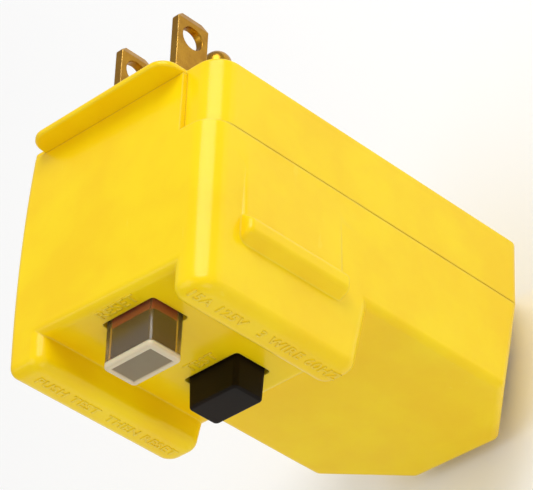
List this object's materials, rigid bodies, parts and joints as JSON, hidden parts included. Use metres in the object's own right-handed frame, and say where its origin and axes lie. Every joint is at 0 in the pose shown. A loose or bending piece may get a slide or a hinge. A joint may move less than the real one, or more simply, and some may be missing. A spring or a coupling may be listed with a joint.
{
  "type": "right-angle ground-fault plug head",
  "caption": "Right-angle mains plug head with two flat blades, a round ground pin, a guarded pair of push keys and a cord entry at its far end.",
  "frame": {"origin": "midway between the two flat blades, on the face that meets the outlet", "axes": "+Y into the outlet along the blades, +Z away from the cord end toward the flange, +X toward the line blade"},
  "size_m": [0.0444, 0.0652, 0.0827],
  "materials": {
    "yellow_plastic": "satin moulded",
    "black_plastic": "satin moulded",
    "brass": "rolled",
    "steel": "plated",
    "copper": "bright",
    "rubber": "matte",
    "clear_plastic": "frosted clear",
    "orange_plastic": "moulded",
    "board_laminate": "solder mask",
    "ferrite": "coated",
    "nylon": "moulded",
    "capacitor_sleeve": "shrunk sleeve",
    "varistor_coat": "dipped"
  },
  "bodies": {
    "base": {"blade_carrier": "black_plastic", "button_housing": "yellow_plastic", "capacitor": "capacitor_sleeve", "carriage_spring": "steel", "circuit_board": "board_laminate", "clamp_screw_1": "steel", "clamp_screw_2": "steel", "control_chip": "black_plastic", "cord_clamp": "black_plastic", "cord_grommet": "rubber", "cover_screw_1": "steel", "cover_screw_2": "steel", "cover_screw_3": "steel", "cover_screw_4": "steel", "fixed_contact_line_in": "copper", "fixed_contact_line_out": "copper", "fixed_contact_neutral_in": "copper", "fixed_contact_neutral_out": "copper", "ground_pin": "brass", "ground_strap": "copper", "line_blade": "brass", "line_conductor": "copper", "mechanism_frame": "black_plastic", "neutral_blade": "brass", "neutral_conductor": "copper", "neutral_toroid": "ferrite", "plunger_spring": "steel", "prong_cover": "yellow_plastic", "rectifier": "black_plastic", "reset_spring": "steel", "seam_gasket": "rubber", "sense_toroid": "ferrite", "solenoid_bobbin": "nylon", "solenoid_coil": "copper", "solenoid_yoke": "steel", "terminal_block": "black_plastic", "terminal_screw_ground": "brass", "terminal_screw_line": "brass", "terminal_screw_neutral": "brass", "test_leaf": "copper", "test_post": "brass", "test_spring": "steel", "varistor": "varistor_coat"},
    "reset_key": {"reset_button": "clear_plastic", "reset_plunger": "orange_plastic"},
    "test_key": {"test_button": "black_plastic"},
    "latch": {"latch_plate": "steel", "solenoid_plunger": "steel"},
    "carriage": {"contact_carriage": "black_plastic", "bridge_contact_line": "copper", "bridge_contact_neutral": "copper"}
  },
  "joints": [
    {"name": "reset_press", "type": "slide", "parent": "base", "child": "reset_key", "axis": [0, 1, 0], "range_m": [0, 0.003], "stiffness_N_per_m": 300, "springref_m": -0.001, "deforming": ["reset_spring"]},
    {"name": "test_press", "type": "slide", "parent": "base", "child": "test_key", "axis": [0, 1, 0], "range_m": [0, 0.0025], "stiffness_N_per_m": 300, "springref_m": -0.001, "deforming": ["test_spring", "test_leaf"]},
    {"name": "trip_slide", "type": "slide", "parent": "base", "child": "latch", "axis": [-1, 0, 0], "range_m": [0, 0.002], "stiffness_N_per_m": 200, "springref_m": -0.0005, "deforming": ["plunger_spring"]},
    {"name": "contact_close", "type": "slide", "parent": "base", "child": "carriage", "axis": [0, -1, 0], "range_m": [0, 0.0012], "stiffness_N_per_m": 400, "springref_m": -0.0005, "deforming": ["carriage_spring"]}
  ]
}
